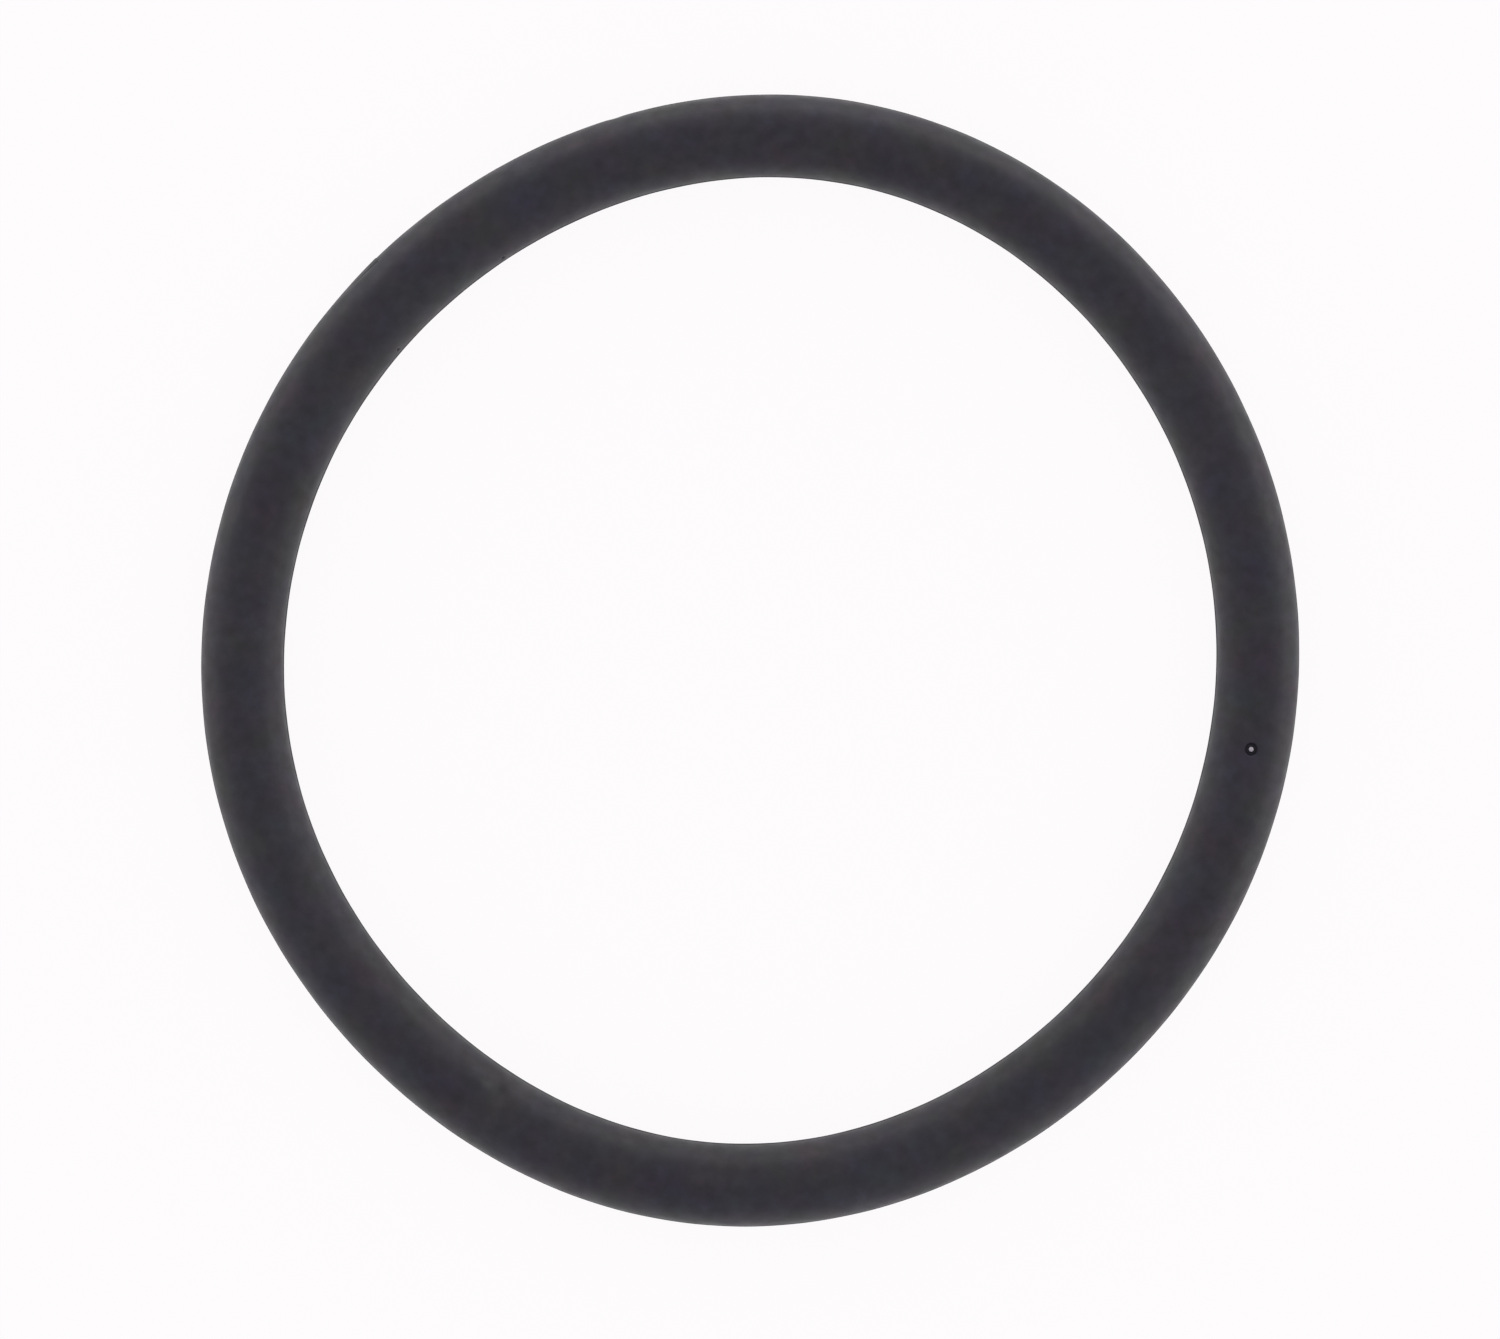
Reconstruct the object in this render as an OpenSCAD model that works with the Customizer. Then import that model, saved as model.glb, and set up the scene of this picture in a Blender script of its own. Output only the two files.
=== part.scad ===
// Rubber o-ring, lying loose on a flat surface.
//
// It is one moulded piece. Its section is a circle with a fine ridge at mid-height on
// the inside and the outside, where the two halves of the mould met.
// A loose ring is never quite round: this one lies longer along Y than along X.
// The middle of its section follows a closed oval of four arcs that run smoothly into
// one another: two flatter arcs at the sides (+X and -X) and two tighter ones at the
// ends (+Y and -Y). The oval is as long as the circle that the ring follows when round.
//
// Z is the axis of the ring, and the surface that it lies on is at z = 0.

/* [Ring] */
// Inside diameter of the ring when it is round, not counting the ridge
inside_d = 40.87; // [16:0.01:120]
// Diameter of the round section, not counting the ridge
section_d = 3.53; // [1.5:0.01:8]
// How much longer the ring lies along Y than along X
out_of_round = 1.6; // [0:0.1:2]

/* [Mould line] */
// How far the ridge stands out from the round section
ridge_h = 0.03; // [0.02:0.01:0.15]
// Thickness of the ridge, measured along Z
ridge_w = 0.12; // [0.05:0.01:0.4]

/* [Hidden] */

// Facets of a full circle
$fn = 128;

// Black rubber, a little grey and cool
rubber_colour = [0.21, 0.20, 0.225];

// Radius of the middle of the section when the ring is round
round_r = (inside_d + section_d) / 2;

// The centres of a side arc and an end arc form a 3-4-5 triangle with the ring's own
// centre, which keeps all four joins exact: a side arc's centre is 3 units across,
// an end arc's centre is 4 units along, and the two radii differ by 5 units.
unit = out_of_round / 4;
side_offset = 3 * unit;
end_offset = 4 * unit;
radius_step = 5 * unit;

// Half the angle that a side arc spans, and half the angle that is left for an end arc
side_angle = atan(4 / 3);
end_angle = 90 - side_angle;

// Radii that keep the oval as long as the circle, to a ten-thousandth of a millimetre
places = 10000;
end_r = round((round_r - radius_step * side_angle / 90) * places) / places;
side_r = end_r + radius_step;

// The section as the mould leaves it, with its middle at the origin
module section() {
    circle(d = section_d);
    square([section_d + 2 * ridge_h, ridge_w], center = true);
}

// The section swept along an arc about the Z axis
module swept_arc(radius, start, angle) {
    rotate_extrude(start = start, angle = angle)
        translate([radius, 0])
            section();
}

// A quarter of the ring, from the middle of the +X side to the middle of the +Y end
module quarter() {
    translate([-side_offset, 0, 0])
        swept_arc(side_r, 0, side_angle);
    translate([0, end_offset, 0])
        swept_arc(end_r, side_angle, end_angle);
}

// The whole ring, four mirrored quarters resting on z = 0
module o_ring() {
    color(rubber_colour)
        translate([0, 0, section_d / 2])
            for (across = [0, 1], along = [0, 1])
                mirror([across, 0, 0])
                    mirror([0, along, 0])
                        quarter();
}

o_ring();
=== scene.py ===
import math

import bpy
import numpy as np
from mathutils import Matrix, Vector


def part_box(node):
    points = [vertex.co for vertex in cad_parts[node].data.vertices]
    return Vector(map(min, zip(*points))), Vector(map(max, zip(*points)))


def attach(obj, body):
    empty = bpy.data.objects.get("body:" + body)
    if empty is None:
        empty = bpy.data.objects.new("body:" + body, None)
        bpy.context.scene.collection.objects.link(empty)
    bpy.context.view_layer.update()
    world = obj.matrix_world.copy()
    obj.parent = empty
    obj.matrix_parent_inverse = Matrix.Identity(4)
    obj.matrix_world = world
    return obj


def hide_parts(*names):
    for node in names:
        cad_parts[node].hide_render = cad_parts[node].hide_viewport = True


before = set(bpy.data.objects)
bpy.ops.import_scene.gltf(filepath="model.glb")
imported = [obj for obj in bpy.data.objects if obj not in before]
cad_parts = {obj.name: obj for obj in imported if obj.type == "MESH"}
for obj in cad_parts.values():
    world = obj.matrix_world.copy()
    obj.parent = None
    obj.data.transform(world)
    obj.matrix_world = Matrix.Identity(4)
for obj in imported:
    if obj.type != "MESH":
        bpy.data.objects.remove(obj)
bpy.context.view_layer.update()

MM = 0.001
TURN = 2 * math.pi

# The photograph's frame in its own pixels, and what was measured in it: the middle of
# the ring from the top left corner, the scale at the ring, and how far the ring's
# longer diameter leans to the right of upright.
FRAME_WIDTH = 1500
FRAME_HEIGHT = 1339
RING_X = 751.86
RING_Y = 659.48
PIXELS_PER_MM = 23.16
RING_LEAN = math.radians(14)

# A macro lens held straight above the ring, on a full-frame camera
LENS_MM = 150
SENSOR_MM = 36

# The round section, as the solid in the frame has it
ring_low, ring_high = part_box("o_ring")
SECTION_RADIUS = (ring_high[2] - ring_low[2]) / 2

# The middle of the section runs round at this mean radius. The loose ring departs from a
# circle in a few long waves: (waves to a turn, height in mm, degrees of the first crest).
# The first of them is the oval of the solid in the frame.
MEAN_RADIUS = 22.2 * MM
WAVES = [(2, 0.397, 90), (3, 0.082, 67), (4, 0.089, 7), (5, 0.022, 71), (6, 0.020, 36)]

# The mould line: a fine ridge round the outside and the inside, with a flat top. Its height
# is uneven by a share of itself, in waves: (waves to a turn, weight, phase in radians).
RIDGE_HEIGHT = 0.028 * MM
RIDGE_HALF_WIDTH = 0.05 * MM
RIDGE_STEEPNESS = 8
RIDGE_UNEVENNESS = 0.15
RIDGE_WAVES = [(23, 0.6, 0.7), (57, 0.4, 2.1)]

# A place on the ring is given by degrees round it from its +X side, and by how far across
# the band it lies seen from above: -1 is the inner edge, 0 the middle, 1 the outer edge.

# A flake of flash on the outer mould line, and the groove that its tear left in the rim
# above it. Both start at once and taper off.
FLAKE_AT = 147.0
FLAKE_LENGTH = 4.5  # degrees
FLAKE_HEIGHT = 0.025 * MM
GROOVE_ACROSS = 0.92
GROOVE_DEPTH = 0.075 * MM
GROOVE_HALF_WIDTH = 0.13 * MM

# Nicks in the mould line: (degrees, 1 outside or -1 inside, depth in mm, half length in mm)
NICKS = [(118.0, 1, 0.02, 0.25)]

# Pinholes in the inner rim: (degrees, place across, depth in mm, radius in mm)
PINHOLES = [(135.9, -0.96, 0.09, 0.09), (152.8, -0.945, 0.08, 0.08)]

# Shallow dents: (degrees, place across, and in mm the depth, the half length, and the half
# widths towards the middle of the band and towards its edge)
DENTS = [
    (63.9, -0.50, 0.125, 0.48, 0.80, 0.42),
    (251.9, -0.65, 0.110, 0.34, 0.38, 0.85),
    (253.8, -0.50, 0.125, 0.34, 0.80, 0.42),
]

# A pale grain that sits in a small pit; the pit is darkened with painted shade
SPECK_AT = 3.8
SPECK_ACROSS = -0.027
PIT_RADIUS = 0.27 * MM
PIT_DEPTH = 0.18 * MM
PIT_STEEPNESS = 6
GRAIN_RADIUS = 0.13 * MM
GRAIN_HEIGHT = 0.20 * MM
GRAIN_STEEPNESS = 4

# The mesh: rows round the ring and columns round its section. The details draw them closer
# together: (reach in radii or half lengths and widths of the detail, strength of the pull).
ROWS = 640
COLUMNS = 150
SPECK_ROWS = (1.9, 8)
FLAKE_ROWS = (1.3, 4)
NICK_ROWS = (3, 3)
DENT_ROWS = (3, 3)
PINHOLE_ROWS = (2.2, 9)
RIDGE_COLUMNS = (1.5, 9)
SPECK_COLUMNS = (1.3, 2.2)
GROOVE_COLUMNS = (1.3, 2.5)
PINHOLE_COLUMNS = (2.2, 1.5)
PULL_STEEPNESS = 4
SPACING_STEPS = 40000  # to a turn, in which the spacing is worked out

# The map for baking: strips of the ring, one above another. The margin round each of them
# is a share of the whole map.
MAP_STRIPS = 4
MAP_MARGIN = 0.004

# Black rubber, a little violet. Its red, green and blue each wander by up to half the tint
# either way, and its lightness by up to the mottle.
RUBBER = (0.0163, 0.0149, 0.0210)
TINT = 1.10
MOTTLE = 0.32
RIDGE_COLOUR = (0.030, 0.028, 0.033)
# Painted shade: the pit is coloured near black
PIT_PAINTED_SHADE = (0.004, 0.0035, 0.005)
GRAIN_COLOUR = (0.42, 0.40, 0.43)

# Where these three colours begin and where they are full, in half widths or radii from the
# middle of the mould line, the pit (its colour painted shade) and the grain
RIDGE_FADE = (1.2, 0.6)
PIT_SHADE_FADE = (1.1, 0.8)
GRAIN_FADE = (1.1, 0.9)

# Gloss: how strongly the rubber reflects, and how rough it is from place to place
SPECULAR = 0.46
ROUGHNESS_LOW = 0.46
ROUGHNESS_HIGH = 0.58
RIDGE_ROUGHNESS = 0.75
GRAIN_ROUGHNESS = 0.9

# Fine relief: a faint orange peel, and the tooth that the mould left
PEEL_HEIGHT = 0.006 * MM
TOOTH_HEIGHT = 0.0025 * MM

# Noise in the rubber: (size of its blotches in mm, levels of finer noise in them), and the
# ends that nearly all of it keeps between
TINT_NOISE = (2.0, 3.0)
MOTTLE_NOISE = (0.60, 3.0)
CLOUD_NOISE = (0.7, 3.0)
PEEL_NOISE = (0.8, 1.0)
TOOTH_NOISE = (0.12, 2.0)
NOISE_LOW = 0.3
NOISE_HIGH = 0.7

# A floor that glows white, and reflects just enough for the ring to shade it a little
FLOOR_HALF = 3.0  # metres
FLOOR_MATT = (0.06, 0.06, 0.06)
FLOOR_GLOW_COLOUR = (1.0, 0.983, 0.991)
FLOOR_GLOW = 0.947

# The studio: even light from all over, and a glow along the horizon that leans towards
# the top of the picture
SKY_COLOUR = (1.02, 0.99, 1.09)
SKY_EVEN = 0.67
GLOW_COLOUR = (1.06, 1.0, 0.94)
GLOW_STRENGTH = 3.2
GLOW_POWER = 10.0
GLOW_LEAN = 1.0
GLOW_TOWARDS = math.radians(70)  # anticlockwise from the picture's right side


def turn_between(angle, centre):
    """The angle from the centre, between minus and plus half a turn."""
    return (angle - centre + math.pi) % TURN - math.pi


def hump(away, radius, steepness=2):
    """1 in the middle, falling to near 0 past the radius. A steeper hump has a flatter top."""
    return np.exp(-((away / radius) ** steepness))


def spaced_angles(count, details):
    """Angles round a full turn, drawn together at details: (centre, half size as angle, pull)."""
    fine = np.linspace(0, TURN, SPACING_STEPS + 1)
    density = np.ones_like(fine)
    for centre, half_size, (reach, strength) in details:
        density += strength * hump(turn_between(fine, centre), reach * half_size, PULL_STEEPNESS)
    passed = np.concatenate([[0], np.cumsum((density[1:] + density[:-1]) / 2)])
    return np.interp(np.arange(count) / count * passed[-1], passed, fine)


def row_angles():
    """Angles round the ring, closer together at its marks."""
    flake_half = math.radians(FLAKE_LENGTH) / 2
    details = [
        (math.radians(SPECK_AT), PIT_RADIUS / MEAN_RADIUS, SPECK_ROWS),
        (math.radians(FLAKE_AT) + flake_half, flake_half, FLAKE_ROWS),
    ]
    for degrees, _, _, half_length in NICKS:
        details.append((math.radians(degrees), half_length * MM / MEAN_RADIUS, NICK_ROWS))
    for degrees, _, _, half_length, _, _ in DENTS:
        details.append((math.radians(degrees), half_length * MM / MEAN_RADIUS, DENT_ROWS))
    for degrees, _, _, radius in PINHOLES:
        details.append((math.radians(degrees), radius * MM / MEAN_RADIUS, PINHOLE_ROWS))
    return spaced_angles(ROWS, details)


def section_angles():
    """Angles round the section from straight outwards, closer at every detail but the dents."""
    ridge_half = RIDGE_HALF_WIDTH / SECTION_RADIUS
    details = [
        (0, ridge_half, RIDGE_COLUMNS),
        (math.pi, ridge_half, RIDGE_COLUMNS),
        (math.acos(SPECK_ACROSS), PIT_RADIUS / SECTION_RADIUS, SPECK_COLUMNS),
        (math.acos(GROOVE_ACROSS), GROOVE_HALF_WIDTH / SECTION_RADIUS, GROOVE_COLUMNS),
    ]
    for _, across, _, radius in PINHOLES:
        details.append((math.acos(across), radius * MM / SECTION_RADIUS, PINHOLE_COLUMNS))
    return spaced_angles(COLUMNS, details)


def centre_line(around):
    """Points of the middle of the section and the directions straight outwards there."""
    radius = np.full_like(around, MEAN_RADIUS)
    slope = np.zeros_like(around)
    for waves, height, crest in WAVES:
        phase = waves * (around - math.radians(crest))
        radius += height * MM * np.cos(phase)
        slope -= height * MM * waves * np.sin(phase)
    across, along = np.cos(around), np.sin(around)
    points = np.stack([radius * across, radius * along], axis=1)
    tangents = np.stack([slope * across - radius * along, slope * along + radius * across], axis=1)
    tangents /= np.linalg.norm(tangents, axis=1, keepdims=True)
    outwards = np.stack([tangents[:, 1], -tangents[:, 0]], axis=1)
    return points, outwards


def away_along(around, degrees):
    """Distances along the ring from a place on it."""
    return MEAN_RADIUS * turn_between(around, math.radians(degrees))


def away_round(section, across):
    """Distances round the section from a place on its upper side."""
    return SECTION_RADIUS * turn_between(section, math.acos(across))


def flake_share(around):
    """1 where the flake starts, falling to 0 where it ends, and 0 off it."""
    past = turn_between(around, math.radians(FLAKE_AT)) / math.radians(FLAKE_LENGTH)
    return np.where((past > 0) & (past < 1), 1 - past, 0)


def ridge_relief(around, section):
    """Height of the mould line over the round section, with its flake and its nicks."""
    above = SECTION_RADIUS * np.sin(section)
    profile = 1 / (1 + (above / RIDGE_HALF_WIDTH) ** RIDGE_STEEPNESS)
    uneven = sum(weight * np.sin(waves * around + phase) for waves, weight, phase in RIDGE_WAVES)
    height = RIDGE_HEIGHT * (1 + RIDGE_UNEVENNESS * uneven)
    outer = np.cos(section) > 0
    height = height + FLAKE_HEIGHT * flake_share(around) * outer
    for degrees, side, depth, half_length in NICKS:
        nick = depth * MM * hump(away_along(around, degrees), half_length * MM)
        height = height - nick * (outer == (side > 0))
    return height * profile


def dent_relief(around, section):
    """Height of the groove by the flake, the shallow dents and the pinholes, all below zero."""
    groove = hump(away_round(section, GROOVE_ACROSS), GROOVE_HALF_WIDTH)
    relief = -GROOVE_DEPTH * flake_share(around) * groove
    for degrees, across, depth, half_length, middle_width, edge_width in DENTS:
        along = away_along(around, degrees)
        round_section = away_round(section, across)
        towards_edge = round_section * across < 0
        half_width = np.where(towards_edge, edge_width, middle_width)
        spread = (along / (half_length * MM)) ** 2 + (round_section / (half_width * MM)) ** 2
        relief -= depth * MM * np.exp(-spread)
    for degrees, across, depth, radius in PINHOLES:
        away = np.hypot(away_along(around, degrees), away_round(section, across))
        relief -= depth * MM * hump(away, radius * MM)
    return relief


def speck_relief(around, section):
    """Height of the pit and of the grain that sits in it."""
    away = np.hypot(away_along(around, SPECK_AT), away_round(section, SPECK_ACROSS))
    pit = PIT_DEPTH * hump(away, PIT_RADIUS, PIT_STEEPNESS)
    grain = GRAIN_HEIGHT * hump(away, GRAIN_RADIUS, GRAIN_STEEPNESS)
    return grain - pit


def ring_surface(around, section):
    """Points of the ring's surface at angles round the ring and round its section."""
    points, outwards = centre_line(around)
    reach = ridge_relief(around, section) + dent_relief(around, section)
    reach += speck_relief(around, section) + SECTION_RADIUS
    flat = points + outwards * (reach * np.cos(section))[:, None]
    up = SECTION_RADIUS + reach * np.sin(section)
    return np.column_stack([flat, up])


def lay_out_map(mesh, around, section, row, column):
    """Lays the ring out as strips of one map, each a part of the way round, one above another."""
    turned = np.append(around, TURN)
    wound = np.append(section, TURN)
    rows_each = ROWS // MAP_STRIPS
    strip = row // rows_each
    start, end = turned[strip * rows_each], turned[(strip + 1) * rows_each]
    left = (turned[row] - start) / (end - start)
    right = (turned[row + 1] - start) / (end - start)
    low, high = wound[column] / TURN, wound[column + 1] / TURN
    u = np.stack([left, right, right, left], axis=1)
    v = np.stack([low, low, high, high], axis=1)
    u = MAP_MARGIN + (1 - 2 * MAP_MARGIN) * u
    strip_margin = MAP_STRIPS * MAP_MARGIN
    v = (strip[:, None] + strip_margin + (1 - 2 * strip_margin) * v) / MAP_STRIPS
    layer = mesh.uv_layers.new(name="OFBake")
    layer.uv.foreach_set("vector", np.stack([u, v], axis=2).ravel().astype(np.float32))


def ring_mesh():
    """The ring as one closed mesh, swept round its centre line."""
    around, section = row_angles(), section_angles()
    every_around, every_section = np.meshgrid(around, section, indexing="ij")
    corners = ring_surface(every_around.ravel(), every_section.ravel())
    row, column = np.divmod(np.arange(ROWS * COLUMNS), COLUMNS)
    next_row, next_column = (row + 1) % ROWS, (column + 1) % COLUMNS
    low, low_next = row * COLUMNS + column, next_row * COLUMNS + column
    high_next, high = next_row * COLUMNS + next_column, row * COLUMNS + next_column
    faces = np.stack([low, low_next, high_next, high], axis=1)
    mesh = bpy.data.meshes.new("rubber_ring")
    mesh.from_pydata(corners.tolist(), [], faces.tolist())
    mesh.polygons.foreach_set("use_smooth", np.ones(len(faces), dtype=bool))
    lay_out_map(mesh, around, section, row, column)
    mesh.update()
    return mesh


def emptied_tree(owner):
    """The node tree of a material or a world, with nothing in it."""
    owner.use_nodes = True
    owner.node_tree.nodes.clear()
    return owner.node_tree


def add_node(tree, kind, place, operation=None):
    """A node of the kind, at its place in the node editor."""
    node = tree.nodes.new(kind)
    node.location = place
    if operation:
        node.operation = operation
    return node


def set_socket(tree, socket, value):
    """Sets a socket to a number, a vector or a colour, or links it to another socket."""
    if isinstance(value, bpy.types.NodeSocket):
        tree.links.new(value, socket)
    elif socket.type == "RGBA":
        socket.default_value = (*value, 1)
    else:
        socket.default_value = value


def add_math(tree, place, operation, first, second=0.0):
    """One sum on two numbers or sockets."""
    node = add_node(tree, "ShaderNodeMath", place, operation)
    set_socket(tree, node.inputs[0], first)
    set_socket(tree, node.inputs[1], second)
    return node.outputs["Value"]


def add_vector_math(tree, place, operation, *values, output="Vector"):
    """One sum on vectors or colours."""
    node = add_node(tree, "ShaderNodeVectorMath", place, operation)
    for socket, value in zip(node.inputs, values):
        set_socket(tree, socket, value)
    return node.outputs[output]


def add_z(tree, place, vector):
    """The Z of a vector."""
    node = add_node(tree, "ShaderNodeSeparateXYZ", place)
    tree.links.new(vector, node.inputs["Vector"])
    return node.outputs["Z"]


def add_noise(tree, place, where, noise, output="Fac"):
    """Noise of a size in mm, with levels of finer noise in it."""
    size_mm, levels = noise
    node = add_node(tree, "ShaderNodeTexNoise", place)
    node.inputs["Scale"].default_value = 1 / (size_mm * MM)
    node.inputs["Detail"].default_value = levels
    tree.links.new(where, node.inputs["Vector"])
    return node.outputs[output]


def add_range(tree, place, value, from_low, from_high, to_low=0.0, to_high=1.0):
    """The value, with one pair of ends stretched to another and held there."""
    node = add_node(tree, "ShaderNodeMapRange", place)
    ends = {"From Min": from_low, "From Max": from_high, "To Min": to_low, "To Max": to_high}
    for name, end in ends.items():
        node.inputs[name].default_value = end
    tree.links.new(value, node.inputs["Value"])
    return node.outputs["Result"]


def add_mask(tree, place, away, half_size, fade):
    """1 on a detail and 0 elsewhere, by the distance from its middle."""
    begins, full = fade
    return add_range(tree, place, away, begins * half_size, full * half_size)


def add_mix(tree, place, share, first, second):
    """A mix of two colours."""
    node = add_node(tree, "ShaderNodeMix", place)
    node.data_type = "RGBA"
    set_socket(tree, node.inputs["Factor"], share)
    first_colour, second_colour = [s for s in node.inputs if s.type == "RGBA"]
    set_socket(tree, first_colour, first)
    set_socket(tree, second_colour, second)
    return next(s for s in node.outputs if s.type == "RGBA")


def add_number_mix(tree, place, share, first, second):
    """A mix of two numbers."""
    node = add_node(tree, "ShaderNodeMix", place)
    set_socket(tree, node.inputs["Factor"], share)
    set_socket(tree, node.inputs["A"], first)
    set_socket(tree, node.inputs["B"], second)
    return node.outputs["Result"]


def add_bump(tree, place, relief, height):
    """A node that tilts the surface as relief of this height would."""
    node = add_node(tree, "ShaderNodeBump", place)
    node.inputs["Distance"].default_value = height
    tree.links.new(relief, node.inputs["Height"])
    return node


def add_shader_sum(tree, place, first, second):
    """The light of two shaders together."""
    node = add_node(tree, "ShaderNodeAddShader", place)
    tree.links.new(first, node.inputs[0])
    tree.links.new(second, node.inputs[1])
    return node.outputs["Shader"]


def ridge_mask(tree, where):
    """1 on the crest of the mould line and 0 elsewhere."""
    height = add_z(tree, (-1000, -700), where)
    above = add_math(tree, (-800, -700), "SUBTRACT", height, SECTION_RADIUS)
    away = add_math(tree, (-600, -700), "ABSOLUTE", above)
    return add_mask(tree, (-400, -700), away, RIDGE_HALF_WIDTH, RIDGE_FADE)


def speck_masks(tree, where):
    """Two masks: 1 in the pit, where shade is painted, and 0 elsewhere, and 1 on the pale grain and
    0 elsewhere.
    """
    speck = np.array([math.radians(SPECK_AT)]), np.array([math.acos(SPECK_ACROSS)])
    top = ring_surface(*speck)[0]
    away = add_vector_math(tree, (-1000, -500), "DISTANCE", where, top, output="Value")
    pit_shade_mask = add_mask(tree, (-800, -400), away, PIT_RADIUS, PIT_SHADE_FADE)
    on_grain = add_mask(tree, (-800, -550), away, GRAIN_RADIUS, GRAIN_FADE)
    return pit_shade_mask, on_grain


def rubber_colour(tree, where, on_ridge, pit_shade_mask, on_grain):
    """Wide tints, a finer mottle from dark to light, the mould line, painted shade in the pit, and
    the grain.
    """
    hues = add_noise(tree, (-1000, 500), where, TINT_NOISE, "Color")
    spread = (TINT,) * 3
    least = (1 - TINT / 2,) * 3
    tint = add_vector_math(tree, (-800, 500), "MULTIPLY_ADD", hues, spread, least)
    tinted = add_vector_math(tree, (-600, 500), "MULTIPLY", tint, RUBBER)
    mottle = add_noise(tree, (-1000, 250), where, MOTTLE_NOISE)
    lightness = add_range(tree, (-800, 250), mottle, NOISE_LOW, NOISE_HIGH, 1 - MOTTLE, 1 + MOTTLE)
    mottled = add_node(tree, "ShaderNodeHueSaturation", (-400, 400))
    tree.links.new(tinted, mottled.inputs["Color"])
    tree.links.new(lightness, mottled.inputs["Value"])
    worn = add_mix(tree, (-100, 300), on_ridge, mottled.outputs["Color"], RIDGE_COLOUR)
    # Painted shade: the pit goes near black
    dark = add_mix(tree, (50, 300), pit_shade_mask, worn, PIT_PAINTED_SHADE)
    return add_mix(tree, (200, 300), on_grain, dark, GRAIN_COLOUR)


def rubber_roughness(tree, where, on_ridge, on_grain):
    """A cloudy satin, and dull where the mould line was trimmed and on the grain."""
    clouds = add_noise(tree, (-1000, 0), where, CLOUD_NOISE)
    satin = add_range(tree, (-800, 0), clouds, NOISE_LOW, NOISE_HIGH, ROUGHNESS_LOW, ROUGHNESS_HIGH)
    dull = add_number_mix(tree, (-100, 0), on_ridge, satin, RIDGE_ROUGHNESS)
    return add_number_mix(tree, (200, 0), on_grain, dull, GRAIN_ROUGHNESS)


def rubber_normal(tree, where):
    """The tooth that the mould left, over a faint orange peel."""
    peel_noise = add_noise(tree, (-100, -300), where, PEEL_NOISE)
    tooth_noise = add_noise(tree, (-100, -500), where, TOOTH_NOISE)
    peel = add_bump(tree, (200, -300), peel_noise, PEEL_HEIGHT)
    tooth = add_bump(tree, (450, -300), tooth_noise, TOOTH_HEIGHT)
    tree.links.new(peel.outputs["Normal"], tooth.inputs["Normal"])
    return tooth.outputs["Normal"]


def rubber_material():
    """Black rubber with the satin face that a mould leaves."""
    material = bpy.data.materials.new("black_rubber")
    tree = emptied_tree(material)
    where = add_node(tree, "ShaderNodeTexCoord", (-1400, 0)).outputs["Object"]
    on_ridge = ridge_mask(tree, where)
    pit_shade_mask, on_grain = speck_masks(tree, where)
    colour = rubber_colour(tree, where, on_ridge, pit_shade_mask, on_grain)
    roughness = rubber_roughness(tree, where, on_ridge, on_grain)
    shader = add_node(tree, "ShaderNodeBsdfPrincipled", (700, 0))
    shader.inputs["Specular IOR Level"].default_value = SPECULAR
    tree.links.new(colour, shader.inputs["Base Color"])
    tree.links.new(roughness, shader.inputs["Roughness"])
    tree.links.new(rubber_normal(tree, where), shader.inputs["Normal"])
    output = add_node(tree, "ShaderNodeOutputMaterial", (1000, 0))
    tree.links.new(shader.outputs["BSDF"], output.inputs["Surface"])
    return material


def floor_material():
    """A white surface that glows, so that the ring's shadow hardly shows."""
    material = bpy.data.materials.new("pale_floor")
    tree = emptied_tree(material)
    matt = add_node(tree, "ShaderNodeBsdfDiffuse", (0, 100))
    set_socket(tree, matt.inputs["Color"], FLOOR_MATT)
    glow = add_node(tree, "ShaderNodeEmission", (0, -100))
    set_socket(tree, glow.inputs["Color"], FLOOR_GLOW_COLOUR)
    set_socket(tree, glow.inputs["Strength"], FLOOR_GLOW)
    both = add_shader_sum(tree, (300, 0), matt.outputs["BSDF"], glow.outputs["Emission"])
    output = add_node(tree, "ShaderNodeOutputMaterial", (600, 0))
    tree.links.new(both, output.inputs["Surface"])
    return material


def add_ring():
    """The dressed ring, which stands for the solid in the frame."""
    ring = bpy.data.objects.new("rubber_ring", ring_mesh())
    bpy.context.collection.objects.link(ring)
    ring.data.materials.append(rubber_material())
    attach(ring, "root")
    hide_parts("o_ring")


def add_floor():
    """A square of pale floor that the ring lies on."""
    half = FLOOR_HALF
    mesh = bpy.data.meshes.new("floor")
    corners = [(-half, -half, 0), (half, -half, 0), (half, half, 0), (-half, half, 0)]
    mesh.from_pydata(corners, [], [(0, 1, 2, 3)])
    floor = bpy.data.objects.new("floor", mesh)
    bpy.context.collection.objects.link(floor)
    floor.data.materials.append(floor_material())


def add_background(tree, place, colour, strength):
    """Light from the sky."""
    node = add_node(tree, "ShaderNodeBackground", place)
    set_socket(tree, node.inputs["Color"], colour)
    set_socket(tree, node.inputs["Strength"], strength)
    return node.outputs["Background"]


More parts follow.
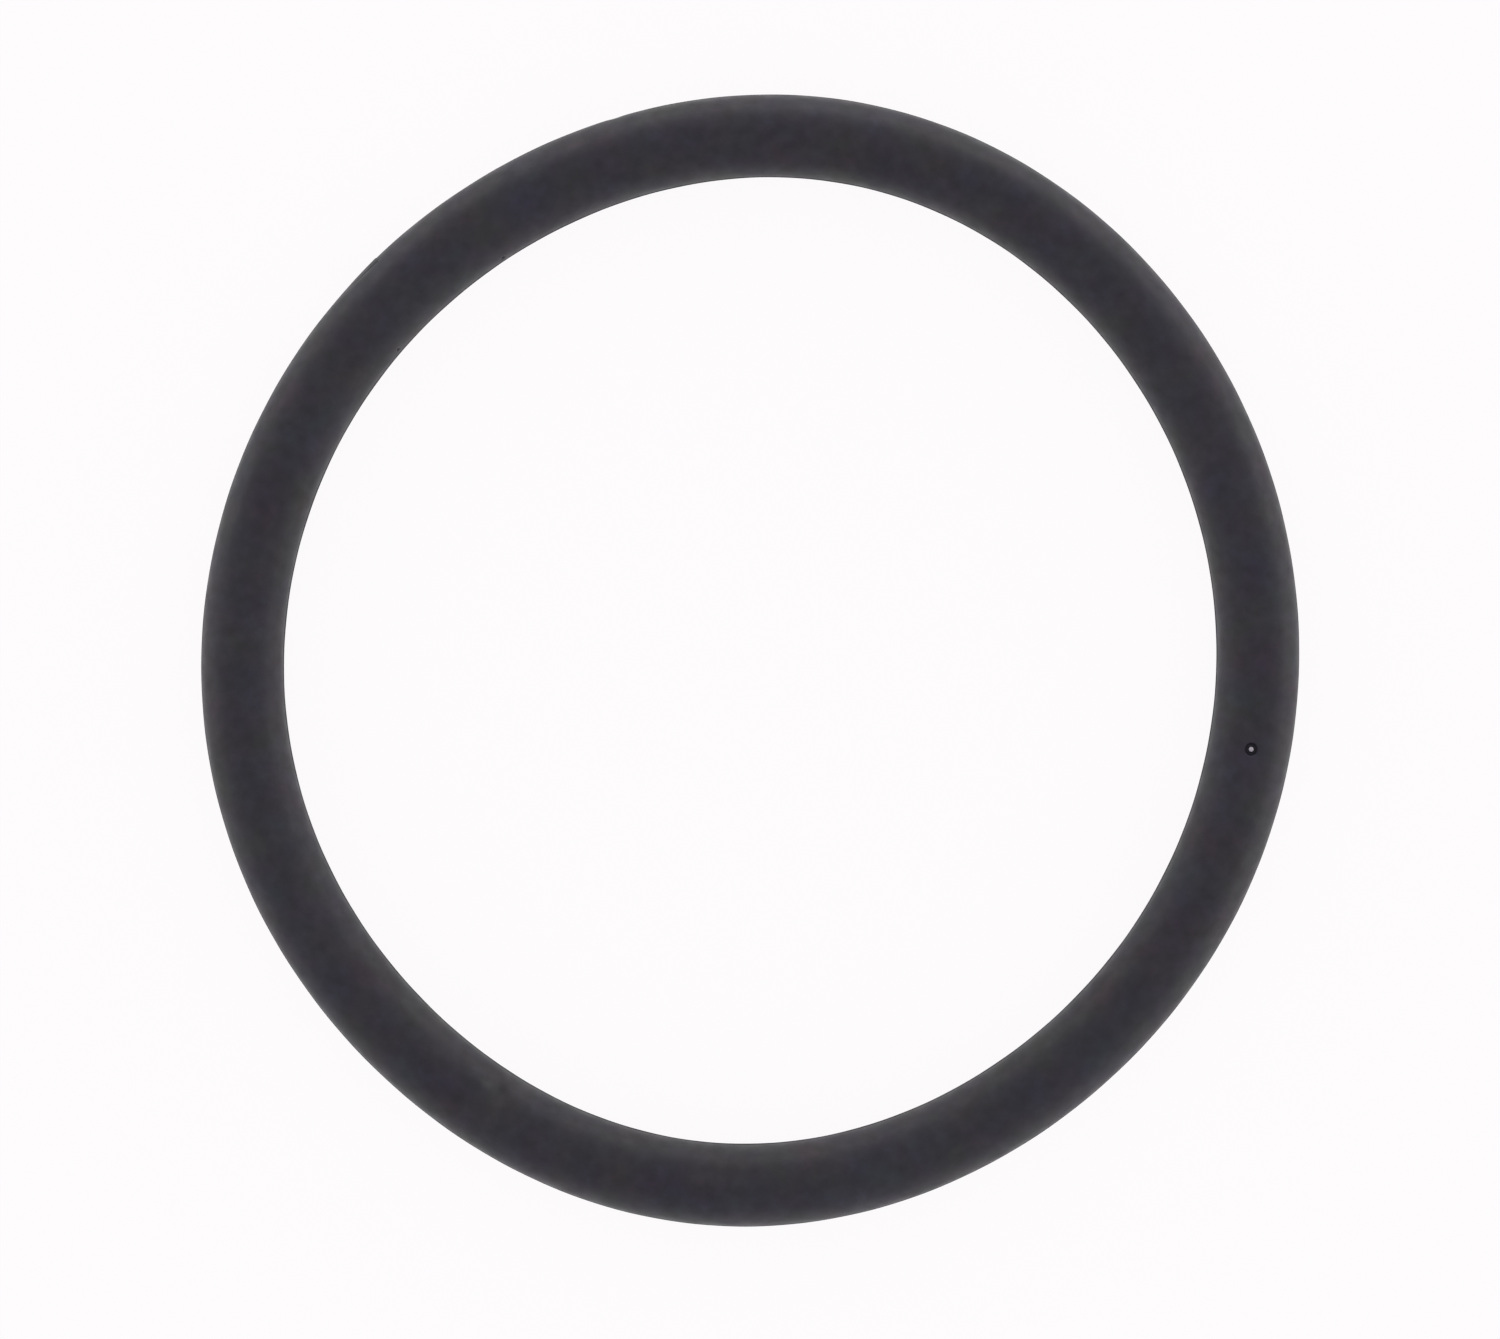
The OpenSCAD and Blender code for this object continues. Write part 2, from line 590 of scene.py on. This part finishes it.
def glow_strength(tree, direction):
    """How strong the glow is in a direction: most at the horizon, and on one side of it."""
    height = add_z(tree, (200, 100), direction)
    from_horizon = add_math(tree, (350, 100), "ABSOLUTE", height)
    nearness = add_math(tree, (500, 100), "SUBTRACT", 1.0, from_horizon)
    height_share = add_math(tree, (600, 100), "POWER", nearness, GLOW_POWER)
    towards = GLOW_TOWARDS + RING_LEAN
    lean = (GLOW_LEAN * math.cos(towards), GLOW_LEAN * math.sin(towards), 0)
    side = add_vector_math(tree, (200, -200), "DOT_PRODUCT", direction, lean, output="Value")
    side_share = add_math(tree, (400, -200), "ADD", side, 1.0)
    share = add_math(tree, (600, -200), "MULTIPLY", height_share, side_share)
    return add_math(tree, (750, -200), "MULTIPLY", share, GLOW_STRENGTH)


def add_sky():
    """Even light, and a glow along the horizon that is strongest on one side."""
    world = bpy.data.worlds.new("studio")
    tree = emptied_tree(world)
    direction = add_node(tree, "ShaderNodeTexCoord", (0, 0)).outputs["Generated"]
    even = add_background(tree, (800, 100), SKY_COLOUR, SKY_EVEN)
    glow = add_background(tree, (900, -200), GLOW_COLOUR, glow_strength(tree, direction))
    both = add_shader_sum(tree, (1050, 0), even, glow)
    output = add_node(tree, "ShaderNodeOutputWorld", (1200, 0))
    tree.links.new(both, output.inputs["Surface"])
    bpy.context.scene.world = world


def add_camera():
    """Straight above the ring, framed as the photograph is."""
    data = bpy.data.cameras.new("camera")
    data.lens = LENS_MM
    data.sensor_width = SENSOR_MM
    camera = bpy.data.objects.new("camera", data)
    right = (math.cos(RING_LEAN), math.sin(RING_LEAN))
    up = (-right[1], right[0])
    to_right = (FRAME_WIDTH / 2 - RING_X) / PIXELS_PER_MM * MM
    to_top = (RING_Y - FRAME_HEIGHT / 2) / PIXELS_PER_MM * MM
    distance = LENS_MM / SENSOR_MM * FRAME_WIDTH / PIXELS_PER_MM * MM
    camera.location = (
        right[0] * to_right + up[0] * to_top,
        right[1] * to_right + up[1] * to_top,
        SECTION_RADIUS + distance,
    )
    camera.rotation_euler = (0, 0, RING_LEAN)
    bpy.context.collection.objects.link(camera)
    bpy.context.scene.camera = camera


add_camera()
add_ring()
add_floor()
add_sky()
bpy.context.scene.view_settings.view_transform = "Standard"
